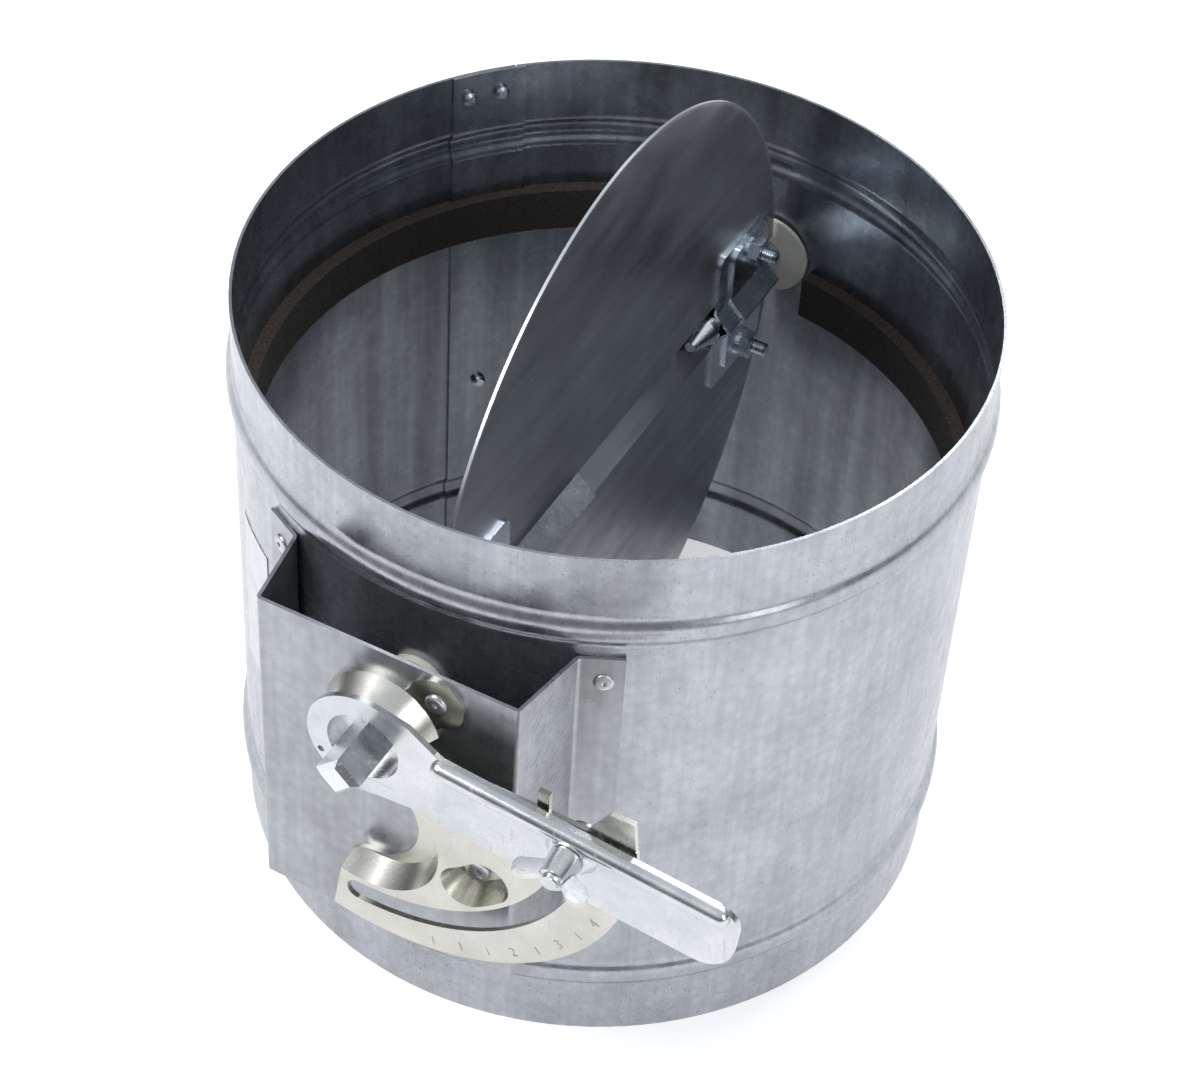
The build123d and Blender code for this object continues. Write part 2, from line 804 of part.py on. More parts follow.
cup_floor_front = lever_front - lever_cup_depth
with BuildPart() as lever:
    add(sheet_from_form(lever_form.part, lever_sheet))
    with BuildSketch(lever_plane(lever_back)):
        Circle(lever_hole_radius + lever_cup_wall)
    extrude(amount=lever_sheet)
    with BuildSketch(lever_plane(cup_floor_front - lever_cup_floor)):
        Circle(lever_hole_radius + lever_cup_wall)
    extrude(amount=lever_cup_floor + lever_cup_depth)
    with BuildSketch(lever_plane(cup_floor_front)):
        Circle(lever_hole_radius)
    extrude(amount=lever_cup_depth, mode=Mode.SUBTRACT)
    with BuildSketch(across_shaft(cup_floor_front)):
        Rectangle(shaft_side + lever_key_clearance, shaft_side + lever_key_clearance, rotation=45)
    extrude(amount=-lever_cup_floor, mode=Mode.SUBTRACT)
    with BuildSketch(lever_plane(lever_back)):
        with Locations((index_hole_u, index_hole_v)):
            Circle(index_hole_radius)
    extrude(amount=lever_sheet, mode=Mode.SUBTRACT)
    with BuildSketch(lock_plane(lever_back)):
        Circle(lock_bolt_radius + seat_gap)
    extrude(amount=boss_front - lever_back, mode=Mode.SUBTRACT)
finish(lever, "lever")

# ---------------------------------------------------------------- lock bolt and wing nut
lock_head_front = quadrant_back - lock_head_gap
lock_neck_front = boss_front - lever_sheet
lock_thread = thread_points(lock_bolt_radius, wing_nut_seat + wing_nut_height, lock_bolt_end)
with BuildPart() as lock_bolt:
    with BuildSketch(lock_plane(lock_head_front - lock_bolt_head_height)):
        Circle(lock_bolt_head_radius)
    extrude(amount=lock_bolt_head_height)
    with BuildSketch(lock_plane(lock_head_front)):
        Rectangle(lock_bolt_neck, lock_bolt_neck)
    extrude(amount=lock_neck_front - lock_head_front)
    with BuildSketch(Plane(origin=lock_plane(0).origin, x_dir=(1, 0, 0), z_dir=(0, 0, 1))):
        with BuildLine():
            Polyline(
                (0, -lock_neck_front),
                (lock_bolt_radius, -lock_neck_front),
                *[(radius, -y) for radius, y in lock_thread],
                (lock_bolt_radius - thread_depth, -lock_bolt_end),
                (0, -lock_bolt_end),
                close=True,
            )
        make_face()
    revolve(axis=Axis(lock_plane(0).origin, (0, 1, 0)))
finish(lock_bolt, "lock_bolt")

wing_side_plane = Plane(
    origin=lock_plane(wing_nut_seat).origin,
    x_dir=lever_direction,
    z_dir=-lock_plane(0).y_dir,
)
with BuildPart() as wing_nut:
    for level, reach in ((0, wing_nut_base_radius), (wing_nut_height, wing_nut_top_radius)):
        with BuildSketch(lock_plane(wing_nut_seat + level)):
            Circle(reach)
    loft()
    for side in (-1, 1):
        with BuildSketch(wing_side_plane):
            with Locations((side * (wing_span / 2 - wing_tip_radius), wing_rise - wing_tip_radius)):
                Circle(wing_tip_radius)
            with Locations((side * wing_nut_top_radius / 2, wing_root_height)):
                Circle(wing_root_radius)
            make_hull()
        extrude(amount=wing_thickness / 2, both=True)
    with BuildSketch(lock_plane(wing_nut_seat)):
        Circle(lock_bolt_radius + wing_nut_thread_clearance)
    extrude(amount=wing_rise, mode=Mode.SUBTRACT)
finish(wing_nut, "wing_nut")
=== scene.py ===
"""Looks of a round volume control damper: sheet-metal finishes, stamped marks and a plain studio."""

import json
import logging
import math
from dataclasses import dataclass, field
from enum import Enum

import bpy
from mathutils import Matrix, Vector


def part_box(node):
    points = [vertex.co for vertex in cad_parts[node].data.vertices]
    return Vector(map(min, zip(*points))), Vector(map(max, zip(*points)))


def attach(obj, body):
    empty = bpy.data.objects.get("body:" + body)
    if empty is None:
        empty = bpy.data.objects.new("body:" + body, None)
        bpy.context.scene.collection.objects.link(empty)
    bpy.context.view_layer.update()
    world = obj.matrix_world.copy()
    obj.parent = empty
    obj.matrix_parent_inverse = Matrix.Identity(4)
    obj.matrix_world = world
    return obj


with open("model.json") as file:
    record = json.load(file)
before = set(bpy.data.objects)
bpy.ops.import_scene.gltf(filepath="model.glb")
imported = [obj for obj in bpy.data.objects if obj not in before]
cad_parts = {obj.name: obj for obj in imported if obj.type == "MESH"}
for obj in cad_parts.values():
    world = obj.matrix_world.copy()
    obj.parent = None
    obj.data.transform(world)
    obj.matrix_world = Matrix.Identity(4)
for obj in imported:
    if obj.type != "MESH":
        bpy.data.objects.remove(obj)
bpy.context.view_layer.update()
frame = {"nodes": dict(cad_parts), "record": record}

LOG = logging.getLogger("damper")
MM = 0.001
Colour = tuple[float, float, float]


# ---------------------------------------------------------------- shader building
class Wire:
    """A node socket that adds up like a number."""

    def __init__(self, shader: "Shader", socket: bpy.types.NodeSocket) -> None:
        """Wrap an output socket of a shader."""
        self.shader = shader
        self.socket = socket

    def _maths(self, operation: str, first: "Wire | float", second: "Wire | float") -> "Wire":
        """Add one Math node.

        Args:
            operation: The Math node's operation.
            first: First operand.
            second: Second operand.

        Returns:
            The node's result.
        """
        return self.shader.node("ShaderNodeMath", {"operation": operation}, {0: first, 1: second})[0]

    def __add__(self, other: "Wire | float") -> "Wire":
        """Sum."""
        return self._maths("ADD", self, other)

    def __radd__(self, other: float) -> "Wire":
        """Reflected sum."""
        return self._maths("ADD", other, self)

    def __sub__(self, other: "Wire | float") -> "Wire":
        """Difference."""
        return self._maths("SUBTRACT", self, other)

    def __rsub__(self, other: float) -> "Wire":
        """Reflected difference."""
        return self._maths("SUBTRACT", other, self)

    def __mul__(self, other: "Wire | float") -> "Wire":
        """Product."""
        return self._maths("MULTIPLY", self, other)

    def __rmul__(self, other: float) -> "Wire":
        """Reflected product."""
        return self._maths("MULTIPLY", other, self)

    def __truediv__(self, other: "Wire | float") -> "Wire":
        """Quotient."""
        return self._maths("DIVIDE", self, other)

    def __gt__(self, other: "Wire | float") -> "Wire":
        """One where this is the greater, else zero."""
        return self._maths("GREATER_THAN", self, other)

    def __lt__(self, other: "Wire | float") -> "Wire":
        """One where this is the smaller, else zero."""
        return self._maths("LESS_THAN", self, other)


class Shader:
    """A material's node tree, with one principled surface."""

    def __init__(self, name: str) -> None:
        """Create an empty material of that name."""
        self.material = bpy.data.materials.new(name)
        self.material.use_nodes = True
        self.tree = self.material.node_tree
        self.surface = self.tree.nodes["Principled BSDF"]

    def node(self, kind: str, settings: dict | None = None, inputs: dict | None = None) -> list[Wire]:
        """Add any node.

        Args:
            kind: The node's type.
            settings: Attributes set before the inputs; "stops" fills a colour ramp.
            inputs: Values or wires by socket name or number.

        Returns:
            The node's outputs.
        """
        node = self.tree.nodes.new(kind)
        for name, value in (settings or {}).items():
            if name == "stops":
                self._fill_ramp(node.color_ramp, value)
            else:
                setattr(node, name, value)
        for key, value in (inputs or {}).items():
            if isinstance(value, Wire):
                self.tree.links.new(value.socket, node.inputs[key])
            else:
                node.inputs[key].default_value = value
        return [Wire(self, socket) for socket in node.outputs]

    @staticmethod
    def _fill_ramp(ramp: bpy.types.ColorRamp, stops: list[tuple[float, Colour]]) -> None:
        """Give a ramp its stops.

        Args:
            ramp: The ramp, with Blender's two default stops.
            stops: Position and colour of each stop, in order.
        """
        while len(ramp.elements) < len(stops):
            ramp.elements.new(1.0)
        for element, (position, colour) in zip(ramp.elements, stops):
            element.position = position
            element.color = (*colour, 1.0)

    def place(self) -> Wire:
        """Position on the object, in metres."""
        return self.node("ShaderNodeTexCoord")[3]

    def noise(self, scale: float, detail: float = 2.0, stretch: Colour = (1.0, 1.0, 1.0), rough: float = 0.5) -> Wire:
        """Noise from 0 to 1 over the object.

        Args:
            scale: Features per metre.
            detail: Octaves.
            stretch: Scale of each axis.
            rough: Weight of the finer octaves.

        Returns:
            The noise value.
        """
        mapped = self.node("ShaderNodeMapping", {}, {"Vector": self.place(), "Scale": stretch})[0]
        wanted = {"Vector": mapped, "Scale": scale, "Detail": detail, "Roughness": rough}
        return self.node("ShaderNodeTexNoise", {}, wanted)[0]

    def cells(self, scale: float, feature: str = "F1") -> list[Wire]:
        """Voronoi cells over the object.

        Args:
            scale: Cells per metre.
            feature: Which distance is measured.

        Returns:
            The node's outputs: distance, colour and position.
        """
        return self.node("ShaderNodeTexVoronoi", {"feature": feature}, {"Vector": self.place(), "Scale": scale})

    def ramp(self, value: Wire, stops: list[tuple[float, Colour]]) -> Wire:
        """Colour from a value through a ramp.

        Args:
            value: What is looked up.
            stops: Position and colour of each stop.

        Returns:
            The colour.
        """
        return self.node("ShaderNodeValToRGB", {"stops": stops}, {"Fac": value})[0]

    def fade(self, value: Wire, low: float, high: float, start: float = 0.0, end: float = 1.0) -> Wire:
        """Clamped straight-line map of a value.

        Args:
            value: What is mapped.
            low: Value that gives start.
            high: Value that gives end.
            start: Result at low.
            end: Result at high.

        Returns:
            The mapped value.
        """
        wanted = {"Value": value, "From Min": low, "From Max": high, "To Min": start, "To Max": end}
        return self.node("ShaderNodeMapRange", {}, wanted)[0]

    def mix(self, factor: "Wire | float", first: "Wire | tuple", second: "Wire | tuple", blend: str = "MIX") -> Wire:
        """Mix two colours.

        Args:
            factor: Share of the second.
            first: Colour or wire.
            second: Colour or wire.
            blend: The Mix node's blend type.

        Returns:
            The mixed colour.
        """
        settings = {"data_type": "RGBA", "blend_type": blend}
        first, second = (c if isinstance(c, Wire) else (*c, 1.0) for c in (first, second))
        return self.node("ShaderNodeMix", settings, {0: factor, 6: first, 7: second})[2]

    def split(self, vector: Wire) -> list[Wire]:
        """The three parts of a vector."""
        return self.node("ShaderNodeSeparateXYZ", {}, {0: vector})

    def grey(self, value: Wire) -> Wire:
        """A value as a neutral colour."""
        return self.node("ShaderNodeCombineXYZ", {}, {0: value, 1: value, 2: value})[0]

    def smaller(self, first: Wire, second: Wire) -> Wire:
        """The smaller of two values."""
        return self.node("ShaderNodeMath", {"operation": "MINIMUM"}, {0: first, 1: second})[0]

    def larger(self, first: Wire, second: Wire) -> Wire:
        """The larger of two values."""
        return self.node("ShaderNodeMath", {"operation": "MAXIMUM"}, {0: first, 1: second})[0]

    def normal(self) -> Wire:
        """Direction of the surface."""
        return self.node("ShaderNodeNewGeometry")[1]

    def facing_outward(self) -> Wire:
        """How far the surface faces away from the duct's axis, from -1 to 1."""
        flat = {"operation": "MULTIPLY"}
        radial = self.node("ShaderNodeVectorMath", flat, {0: self.place(), 1: (1.0, 1.0, 0.0)})[0]
        unit = self.node("ShaderNodeVectorMath", {"operation": "NORMALIZE"}, {0: radial})[0]
        return self.node("ShaderNodeVectorMath", {"operation": "DOT_PRODUCT"}, {0: self.normal(), 1: unit})[1]

    def bump(self, height: Wire, depth: float) -> Wire:
        """Normal of a relief.

        Args:
            height: Relief from 0 to 1.
            depth: Its full depth, in metres.

        Returns:
            The normal.
        """
        return self.node("ShaderNodeBump", {}, {"Height": height, "Distance": depth, "Strength": 1.0})[0]

    def finish(self, **sockets: "Wire | float | tuple") -> bpy.types.Material:
        """Set the principled surface.

        Args:
            **sockets: Socket names with underscores for spaces, and their values or wires.

        Returns:
            The finished material.
        """
        for name, value in sockets.items():
            socket = self.surface.inputs[name.replace("_", " ")]
            if isinstance(value, Wire):
                self.tree.links.new(value.socket, socket)
            elif isinstance(value, tuple):
                socket.default_value = (*value, 1.0)
            else:
                socket.default_value = value
        return self.material


class SkyShader(Shader):
    """The world's node tree."""

    def __init__(self, world: bpy.types.World) -> None:
        """Start from the world's own background node."""
        self.tree = world.node_tree
        self.surface = self.tree.nodes["Background"]


# ---------------------------------------------------------------- finishes
def grey(value: float) -> Colour:
    """Neutral colour of that lightness."""
    return (value, value, value)


@dataclass(frozen=True)
class Galvanised:
    """Hot-dip galvanised sheet: mottled spangle, drawn streaks and fine dark specks, with painted shade on faces
    turned toward the duct's axis.
    """

    name: str
    colour: Colour
    painted_shade_inner_colour: Colour
    roughness: float
    spangle_scale: float = 230.0
    speck_height: float = 0.030

    def tone(self, shader: Shader) -> Wire:
        """Lightness of the zinc over the sheet.

        Args:
            shader: The material under construction.

        Returns:
            A factor near one.
        """
        spangle = shader.cells(self.spangle_scale)[0]
        mottle = shader.noise(34.0, 4.0, rough=0.6)
        streaks = shader.noise(420.0, 2.0, (1.0, 1.0, 0.05))
        lengthwise = shader.noise(70.0, 3.0, (1.0, 1.0, 0.12))
        spangle_tone = shader.fade(spangle, 0.0, 0.75, 1.06, 0.92)
        mottle_tone = shader.fade(mottle, 0.3, 0.7, 0.86, 1.12)
        streak_tone = shader.fade(streaks, 0.35, 0.7, 0.95, 1.07)
        return spangle_tone * mottle_tone * streak_tone * shader.fade(lengthwise, 0.3, 0.7, 0.94, 1.06)

    def specks(self, shader: Shader) -> Wire:
        """Mask of the fine dark flecks, thickest near the rims."""
        flecks = shader.noise(1500.0, 2.0, (1.0, 1.0, 0.45))
        patches = shader.noise(26.0, 2.0)
        height = shader.split(shader.place())[2]
        top = CAD_NODE_TOP - height
        near_rim = shader.fade(shader.smaller(height, top), self.speck_height, self.speck_height * 1.6, 0.035, 0.0)
        limit = shader.fade(patches, 0.35, 0.7, 0.715, 0.66) - near_rim
        return shader.fade(flecks - limit, 0.0, 0.03)

    def material(self) -> bpy.types.Material:
        """Build the material."""
        shader = Shader(self.name)
        tone = self.tone(shader)
        outward = shader.facing_outward()
        # Painted shade: faces turned toward the duct's axis take the darker second colour.
        shade_mask = shader.fade(outward, 0.1, -0.1)
        # Drawn streaks and painted highlight streaks on faces turned toward the duct's axis, lightening them up to
        # 1.55 times.
        wall_streaks_and_highlights = shader.noise(55.0, 3.0, (1.0, 1.0, 0.06))
        streak_and_highlight_tone = shader.fade(wall_streaks_and_highlights, 0.32, 0.72, 0.7, 1.55)
        outer = shader.mix(1.0, shader.grey(tone), self.colour, "MULTIPLY")
        shaded_colour = shader.mix(1.0, shader.grey(tone * streak_and_highlight_tone), self.painted_shade_inner_colour, "MULTIPLY")
        colour = shader.mix(shade_mask, outer, shaded_colour)
        colour = shader.mix(self.specks(shader) * 0.45, colour, tuple(0.25 * c for c in self.colour))
        cloud = shader.noise(160.0, 3.0)
        roughness = shader.fade(cloud, 0.3, 0.7, self.roughness * 0.82, self.roughness * 1.2)
        relief = shader.noise(900.0, 3.0) + shader.cells(self.spangle_scale)[0] * 0.5
        return shader.finish(
            Base_Color=colour, Roughness=roughness, Metallic=0.9, Normal=shader.bump(relief, 0.000018))


@dataclass(frozen=True)
class BracketSheet(Galvanised):
    """Galvanised sheet that was folded in a press, with score marks on its right web and painted shade on its faces
    turned toward +y.
    """

    web_x: float = 0.0470
    web_back_y: float = -0.1185
    score_pitch: float = 1900.0

    def material(self) -> bpy.types.Material:
        """Build the material."""
        shader = Shader(self.name)
        tone = self.tone(shader)
        x, y, z = shader.split(shader.place())
        wobble = shader.noise(90.0, 2.0)
        lines = shader.node("ShaderNodeMath", {"operation": "SINE"}, {0: (z - y * 1.2 + wobble * 0.008) * self.score_pitch})[0]
        broken = shader.noise(330.0, 2.0, (1.0, 1.0, 0.5))
        scores = shader.fade(lines, 0.8, 0.97) * (x > self.web_x) * (y < self.web_back_y) * (broken > 0.5)
        # Painted shade: faces turned toward +y take the darker second colour.
        shade_mask = shader.fade(shader.node("ShaderNodeVectorMath", {"operation": "DOT_PRODUCT"},
                             {0: shader.normal(), 1: (0.0, 1.0, 0.0)})[1], 0.25, 0.6)
        outer = shader.mix(1.0, shader.grey(tone), self.colour, "MULTIPLY")
        shaded_colour = shader.mix(1.0, shader.grey(tone), self.painted_shade_inner_colour, "MULTIPLY")
        colour = shader.mix(shade_mask, outer, shaded_colour)
        colour = shader.mix(scores * 0.7, colour, tuple(0.2 * c for c in self.colour))
        cloud = shader.noise(120.0, 3.0)
        roughness = shader.fade(cloud, 0.3, 0.7, self.roughness * 0.8, self.roughness * 1.2)
        relief = shader.noise(700.0, 3.0) - scores
        return shader.finish(
            Base_Color=colour, Roughness=roughness, Metallic=0.9, Normal=shader.bump(relief, 0.00002))


@dataclass(frozen=True)
class RolledSheet:
    """Smooth rolled zinc sheet of the blade, with brushed drift and a painted highlight along its cut edge."""

    name: str
    colour: Colour
    edge_highlight_colour: Colour
    roughness: float
    centre_height: float
    half_width: float
    half_length: float

    def material(self) -> bpy.types.Material:
        """Build the material."""
        shader = Shader(self.name)
        place = shader.place()
        x, y, z = shader.split(place)
        across = (z - self.centre_height) / self.half_width
        along = y / self.half_length
        # Painted highlight: a light ring on the blade's faces just within its edge.
        rim = shader.fade(across * across + along * along, 0.972, 0.988)
        brushed = shader.noise(260.0, 3.0, (1.0, 0.05, 1.0))
        cloud = shader.noise(16.0, 3.0)
        tone = shader.fade(brushed, 0.3, 0.7, 0.88, 1.12) * shader.fade(cloud, 0.3, 0.7, 0.8, 1.25)
        colour = shader.mix(1.0, shader.grey(tone), self.colour, "MULTIPLY")
        colour = shader.mix(rim * 0.75, colour, self.edge_highlight_colour)
        smears = shader.noise(70.0, 4.0, (1.0, 0.4, 1.0))
        roughness = shader.fade(smears, 0.3, 0.7, self.roughness * 0.8, self.roughness * 1.25)
        relief = shader.noise(1100.0, 2.0, (1.0, 0.1, 1.0))
        return shader.finish(
            Base_Color=colour, Roughness=roughness, Metallic=0.9, Normal=shader.bump(relief, 0.000008))


@dataclass(frozen=True)
class Plated:
    """Plated steel: a cloudy coat between two tints, with fine scuffs."""

    name: str
    colour: Colour
    tint: Colour
    roughness: float
    cloud_scale: float = 70.0
    scuff_share: float = 0.35

    def material(self) -> bpy.types.Material:
        """Build the material."""
        shader = Shader(self.name)
        cloud = shader.noise(self.cloud_scale, 4.0, rough=0.6)
        grain = shader.noise(1300.0, 2.0)
        first = shader.noise(520.0, 2.0, (0.12, 1.0, 1.0))
        second = shader.noise(640.0, 2.0, (1.0, 1.0, 0.1))
        scuffs = shader.larger(shader.fade(first, 0.66, 0.72), shader.fade(second, 0.67, 0.73))
        colour = shader.mix(shader.fade(cloud, 0.35, 0.68), self.colour, self.tint)
        colour = shader.mix(1.0, colour, shader.grey(shader.fade(grain, 0.3, 0.7, 0.95, 1.03)), "MULTIPLY")
        colour = shader.mix(scuffs * self.scuff_share * 0.5, colour, tuple(0.5 * c for c in self.colour))
        roughness = shader.fade(cloud, 0.3, 0.7, self.roughness * 0.75, self.roughness * 1.3)
        roughness = roughness + scuffs * self.scuff_share * 0.4
        relief = grain * 0.4 + shader.noise(240.0, 3.0) - scuffs * 0.3
        return shader.finish(
            Base_Color=colour, Roughness=roughness, Metallic=1.0, Normal=shader.bump(relief, 0.00002))


@dataclass(frozen=True)
class Foam:
    """Self-adhesive sealing foam: open pores, with painted light that makes its upward faces a lighter brown."""

    name: str = "sealing_foam"
    colour: Colour = (0.018, 0.014, 0.012)
    painted_light_top_colour: Colour = (0.038, 0.027, 0.021)

    def material(self) -> bpy.types.Material:
        """Build the material."""
        shader = Shader(self.name)
        up = shader.split(shader.normal())[2]
        pores = shader.cells(900.0)[0]
        grain = shader.noise(1400.0, 2.0)
        # Painted light: faces turned upward take the lighter brown.
        colour = shader.mix(shader.fade(up, 0.2, 0.9), self.colour, self.painted_light_top_colour)
        tone = shader.fade(pores, 0.05, 0.5, 0.45, 1.3) * shader.fade(grain, 0.3, 0.7, 0.7, 1.4)
        colour = shader.mix(1.0, colour, shader.grey(tone), "MULTIPLY")
        return shader.finish(
            Base_Color=colour, Roughness=0.92, Metallic=0.0, Normal=shader.bump(pores, 0.00035))


@dataclass(frozen=True)
class Moulded:
    """Moulded nylon or printed stock: an even colour with a faint mottle."""

    name: str
    colour: Colour
    roughness: float
    relief_depth: float = 0.00002

    def material(self) -> bpy.types.Material:
        """Build the material."""
        shader = Shader(self.name)
        cloud = shader.noise(120.0, 3.0)
        colour = shader.mix(shader.fade(cloud, 0.3, 0.7), self.colour, tuple(0.88 * c for c in self.colour))
        roughness = shader.fade(cloud, 0.3, 0.7, self.roughness * 0.9, self.roughness * 1.1)
        relief = shader.noise(1500.0, 2.0)
        return shader.finish(
            Base_Color=colour, Roughness=roughness, Metallic=0.0, Normal=shader.bump(relief, self.relief_depth))


BLADE_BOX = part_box("blade")
BLADE_MIDDLE = (BLADE_BOX[0][2] + BLADE_BOX[1][2]) / 2
CAD_NODE_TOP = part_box("casing")[1][2]

COATS = {
    # The galvanised coat's second colour is painted shade for the duct's inward faces.
    "galvanised_sheet": Galvanised("galvanised", (0.39, 0.405, 0.44), (0.20, 0.22, 0.245), 0.27),
    # The blade's second colour is its painted edge highlight.
    "blade_sheet": RolledSheet(
        "blade_zinc", (0.36, 0.385, 0.415), (0.62, 0.64, 0.66), 0.34, BLADE_MIDDLE,
        (BLADE_BOX[1][2] - BLADE_BOX[0][2]) / 2, (BLADE_BOX[1][1] - BLADE_BOX[0][1]) / 2),
    "shaft_bar": Plated("bar_steel", (0.66, 0.69, 0.73), (0.78, 0.80, 0.83), 0.24, 60.0, 0.5),
    "zinc_plate": Plated("zinc_plate", (0.62, 0.68, 0.75), (0.74, 0.79, 0.84), 0.27, 120.0),
    "yellow_zinc": Plated("yellow_zinc", (0.50, 0.50, 0.44), (0.61, 0.60, 0.55), 0.24, 45.0, 0.25),
    "bright_zinc": Plated("bright_zinc", (0.50, 0.525, 0.53), (0.63, 0.64, 0.65), 0.22, 55.0, 0.4),
    "rivet_metal": Plated("rivet", (0.55, 0.56, 0.58), (0.42, 0.43, 0.46), 0.3, 300.0),
    "seal_foam": Foam(),
    "nylon": Moulded("nylon", (0.66, 0.64, 0.57), 0.42),
}
# Painted shade for the pressed dial marks: a darker colour than the quadrant's zinc.
STAMPED_SHADE = Plated("stamped_marks_painted_shade", (0.30, 0.29, 0.26), (0.42, 0.40, 0.36), 0.4, 300.0)
PAPER = Moulded("label_paper", (0.80, 0.79, 0.81), 0.55)
NODE_COATS = {
    # The bracket's second colour is painted shade for its faces turned toward +y.
    "standoff_bracket": BracketSheet("bracket_sheet", (0.36, 0.375, 0.395), (0.12, 0.135, 0.15), 0.33),
}


# ---------------------------------------------------------------- studio
@dataclass
class Studio:
    """Floor, soft light and camera."""

    azimuth: float = math.radians(25.831)
    elevation: float = math.radians(44.465)
    roll: float = math.radians(-3.831)
    distance: float = 1056.57 * MM
    target: Vector = field(default_factory=lambda: Vector((0.70, -3.00, 112.56)) * MM)
    lens: float = 91.309
    floor_glow: float = 0.42

    def camera(self) -> None:
        """Place the camera."""
        back = Vector((
            math.sin(self.azimuth) * math.cos(self.elevation),
            -math.cos(self.azimuth) * math.cos(self.elevation),
            math.sin(self.elevation),
        ))
        right = Vector((math.cos(self.azimuth), math.sin(self.azimuth), 0.0))
        up = back.cross(right)
        turned_right = right * math.cos(self.roll) - up * math.sin(self.roll)
        turned_up = right * math.sin(self.roll) + up * math.cos(self.roll)
        data = bpy.data.cameras.new("camera")
        data.lens = self.lens
        data.sensor_width = 36.0
        data.sensor_fit = "HORIZONTAL"
        holder = bpy.data.objects.new("camera", data)
        turn = Matrix((turned_right, turned_up, back)).transposed().to_4x4()
        holder.matrix_world = Matrix.Translation(self.target + back * self.distance) @ turn
        bpy.context.scene.collection.objects.link(holder)
        bpy.context.scene.camera = holder

    def world(self) -> None:
        """Soft light from all round, brighter overhead."""
        world = bpy.data.worlds.new("studio")
        bpy.context.scene.world = world
        world.use_nodes = True
        sky = SkyShader(world)
        height = sky.split(sky.node("ShaderNodeNewGeometry")[4])[2]
        stops = [(0.0, grey(0.30)), (0.18, grey(0.15)), (0.42, (0.26, 0.28, 0.31)), (0.75, (0.74, 0.78, 0.84))]
        sky.tree.links.new(sky.ramp(sky.fade(height, 0.0, -1.0), stops).socket, sky.surface.inputs["Color"])

    def lamp(self, name: str, place: Colour, aim: Colour, size: tuple[float, float], power: float) -> None:
        """Hang one soft box.

        Args:
            name: The lamp's name.
            place: Where it hangs, in metres.
            aim: What it points at.
            size: Width and height, in metres.
            power: Watts.
        """
        data = bpy.data.lights.new(name, "AREA")
        data.shape = "RECTANGLE"
        data.size, data.size_y = size
        data.energy = power
        holder = bpy.data.objects.new(name, data)
        turn = (Vector(aim) - Vector(place)).to_track_quat("-Z", "Y").to_matrix().to_4x4()
        holder.matrix_world = Matrix.Translation(Vector(place)) @ turn
        bpy.context.scene.collection.objects.link(holder)

    def lamps(self) -> None:
        """Hang the key, the fill and the back light."""
        self.lamp("key", (-0.75, -0.85, 1.25), (0.0, 0.0, 0.1), (0.8, 0.8), 14.0)
        self.lamp("fill", (1.2, -0.5, 0.8), (0.0, 0.0, 0.1), (0.4, 1.0), 6.0)
        self.lamp("back", (0.15, 1.0, 1.4), (0.0, 0.0, 0.15), (0.9, 0.3), 9.0)

    def floor(self) -> None:
        """Lay a plain white floor that keeps the shadow."""
        bpy.ops.object.select_all(action="DESELECT")
        bpy.ops.mesh.primitive_plane_add(size=8.0, location=(0.0, 0.0, 0.0))
        floor = bpy.context.active_object
        floor.name = "floor"
        shader = Shader("floor_white")
        rays = shader.node("ShaderNodeLightPath")
        seen = shader.larger(rays[0], shader.larger(rays[3], rays[6]))
        glow = shader.grey(seen * self.floor_glow)
        shader.finish(Base_Color=grey(0.80), Roughness=0.9, Specular_IOR_Level=0.0, Emission_Color=glow,
                      Emission_Strength=1.0)
        floor.data.materials.append(shader.material)


class Stroke(Enum):
    """How long a scale's stroke is, in metres."""

    SHORT = 0.0022
    LONG = 0.0036


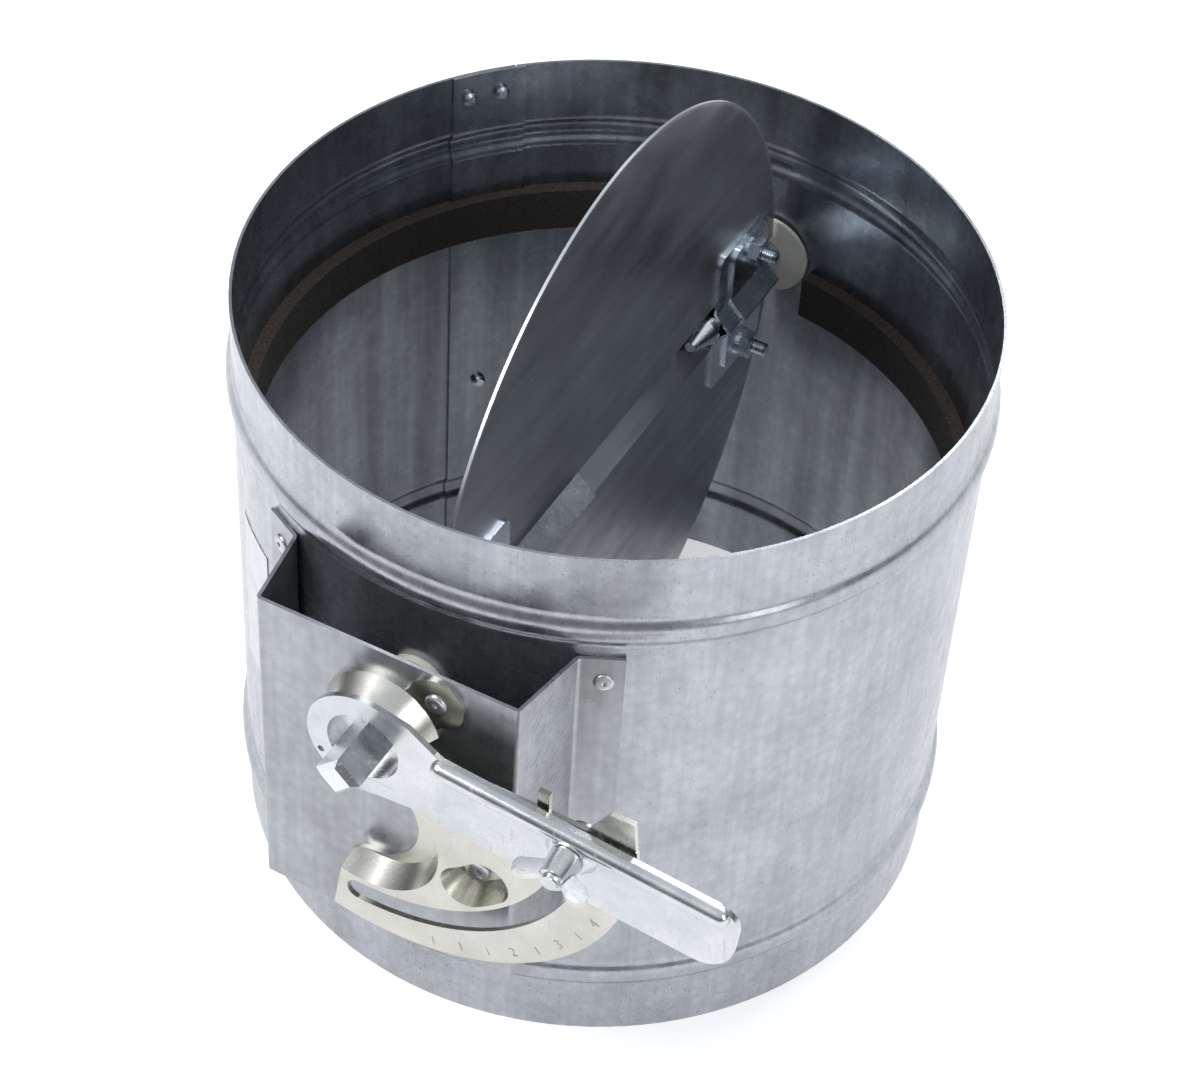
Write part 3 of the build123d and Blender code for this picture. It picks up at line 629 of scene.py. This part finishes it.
@dataclass
class DialMarks:
    """Scale pressed into the rim of the quadrant: strokes, plain numbers and three marks at the stop, coloured in
    painted shade.
    """

    centre: tuple[float, float]
    front: float
    stroke_radius: float = 0.0812
    number_radius: float = 0.0815
    number_size: float = 0.0052
    first_angle: float = 12.0
    step: float = 7.5
    numbers: tuple[str, ...] = ("1", "2", "3", "4")
    depth: float = 0.00006

    def glyph(self, text: str, size: float, place: tuple[float, float], turn: float) -> bpy.types.Object:
        """Form one character on the dial's face.

        Args:
            text: The character.
            size: Its height.
            place: Its place across and up the dial, in metres.
            turn: Its turn from upright, in degrees toward the lever.

        Returns:
            The character as a mesh.
        """
        bpy.ops.object.select_all(action="DESELECT")
        bpy.ops.object.text_add()
        glyph = bpy.context.active_object
        glyph.data.body = text
        glyph.data.size = size
        glyph.data.align_x = "CENTER"
        glyph.data.align_y = "CENTER"
        glyph.data.extrude = self.depth
        bpy.ops.object.convert(target="MESH")
        upright = Matrix.Rotation(math.radians(-turn), 4, "Y") @ Matrix.Rotation(math.radians(90.0), 4, "X")
        glyph.matrix_world = Matrix.Translation((place[0], self.front, place[1])) @ upright
        bpy.ops.object.transform_apply(location=True, rotation=True, scale=True)
        return glyph

    def on_ring(self, radius: float, angle: float) -> tuple[float, float]:
        """Place on a ring about the dial's centre, by its angle from straight down."""
        turn = math.radians(angle)
        return (self.centre[0] + radius * math.sin(turn), self.centre[1] - radius * math.cos(turn))

    def build(self) -> bpy.types.Object:
        """Build the scale as one piece.

        Returns:
            The finished piece.
        """
        glyphs = []
        for count, number in enumerate(self.numbers):
            angle = self.first_angle + self.step * (2 * count + 1)
            glyphs.append(self.glyph(number, self.number_size, self.on_ring(self.number_radius, angle), angle))
        for count in range(len(self.numbers) + 1):
            angle = self.first_angle + self.step * 2 * count
            glyphs.append(self.glyph("|", Stroke.LONG.value, self.on_ring(self.stroke_radius, angle), angle))
        for count in range(3):
            place = (self.centre[0] + 0.0782 + 0.0019 * count, self.centre[1] + 0.0098)
            glyphs.append(self.glyph("|", Stroke.SHORT.value * 1.6, place, 0.0))
        bpy.ops.object.select_all(action="DESELECT")
        for glyph in glyphs:
            glyph.select_set(True)
        bpy.context.view_layer.objects.active = glyphs[0]
        bpy.ops.object.join()
        marks = bpy.context.active_object
        marks.name = "dial_marks"
        marks.data.materials.clear()
        # The marks take the painted shade material.
        marks.data.materials.append(STAMPED_SHADE.material())
        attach(marks, "root")
        LOG.info("built dial_marks")
        return marks


@dataclass
class Sticker:
    """Blank paper label on the casing, left of the bracket."""

    radius: float
    bottom: float = 0.092
    top: float = 0.156
    first_angle: float = -44.5
    last_angle: float = -33.6
    stand_off: float = 0.0001
    thickness: float = 0.00015
    facets: int = 720

    def build(self) -> bpy.types.Object:
        """Build the label.

        Returns:
            The finished piece.
        """
        bpy.ops.object.select_all(action="DESELECT")
        bpy.ops.mesh.primitive_cylinder_add(
            vertices=self.facets, radius=self.radius + self.stand_off, depth=self.top - self.bottom,
            location=(0.0, 0.0, (self.top + self.bottom) / 2), end_fill_type="NOTHING")
        label = bpy.context.active_object
        label.name = "sticker"
        bpy.ops.object.transform_apply(location=True, rotation=True, scale=True)
        bpy.ops.object.mode_set(mode="EDIT")
        bpy.ops.mesh.select_mode(type="FACE")
        bpy.ops.mesh.select_all(action="DESELECT")
        bpy.ops.object.mode_set(mode="OBJECT")
        for face in label.data.polygons:
            angle = math.degrees(math.atan2(face.center.x, -face.center.y))
            face.select = not self.first_angle < angle < self.last_angle
        bpy.ops.object.mode_set(mode="EDIT")
        bpy.ops.mesh.delete(type="FACE")
        bpy.ops.object.mode_set(mode="OBJECT")
        wall = label.modifiers.new("wall", "SOLIDIFY")
        wall.thickness = self.thickness
        wall.offset = 1.0
        bpy.ops.object.modifier_apply(modifier="wall")
        label.data.materials.append(PAPER.material())
        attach(label, "root")
        LOG.info("built sticker")
        return label


@dataclass
class Dresser:
    """Gives every CAD node its finish."""

    slots: dict[str, str]

    def dress(self) -> None:
        """Assign one material to each node."""
        coats = {slot: finish.material() for slot, finish in COATS.items()}
        special = {name: finish.material() for name, finish in NODE_COATS.items()}
        for name, node in frame["nodes"].items():
            node.data.materials.clear()
            node.data.materials.append(special.get(name) or coats[self.slots[name]])
            LOG.info("dressed %s", name)


def main() -> None:
    """Dress the damper and set up the studio."""
    logging.basicConfig(level=logging.INFO, format="%(message)s")
    bpy.context.scene.view_settings.view_transform = "Standard"
    Dresser({entry["node"]: entry["material_slot"] for entry in frame["record"]["subparts"]}).dress()
    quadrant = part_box("quadrant_plate")
    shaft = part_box("drive_shaft")
    shaft_height = (shaft[0][2] + shaft[1][2]) / 2
    DialMarks((0.0075, shaft_height - 0.0015), quadrant[0][1] - 0.00002).build()
    Sticker(0.125).build()
    studio = Studio()
    studio.camera()
    studio.world()
    studio.lamps()
    studio.floor()


if __name__ == "__main__":
    main()
